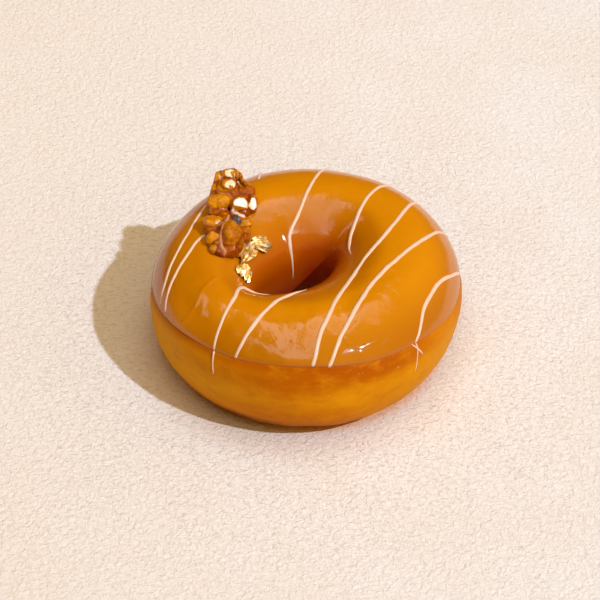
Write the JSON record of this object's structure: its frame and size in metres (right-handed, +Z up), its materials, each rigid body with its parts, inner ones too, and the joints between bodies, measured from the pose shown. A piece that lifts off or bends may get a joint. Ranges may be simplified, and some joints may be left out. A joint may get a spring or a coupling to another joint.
{
  "type": "iced ring doughnut with candied walnut",
  "caption": "Raised ring doughnut with a caramel icing cap, thin sugar threads, scraps of gold leaf and a candied walnut piece; lies flat on its pressed base.",
  "frame": {"origin": "middle of the outline seen from above, on the surface the doughnut lies on", "axes": "+Z up through the hole; +X to the doughnut's right and -Y to its front, with the walnut piece at the back left"},
  "size_m": [0.0906, 0.0916, 0.0409],
  "materials": {
    "dough": "fried golden-brown dough crust, satin with a paler band round the side",
    "icing": "smooth glossy caramel icing",
    "walnut": "walnut in clear caramel, glossy and wrinkled",
    "sugar_thread": "white sugar icing piped in thin threads",
    "gold_leaf": "crumpled edible gold leaf"
  },
  "bodies": {
    "root": {"dough": "dough", "icing": "icing", "walnut": "walnut"}
  },
  "joints": []
}
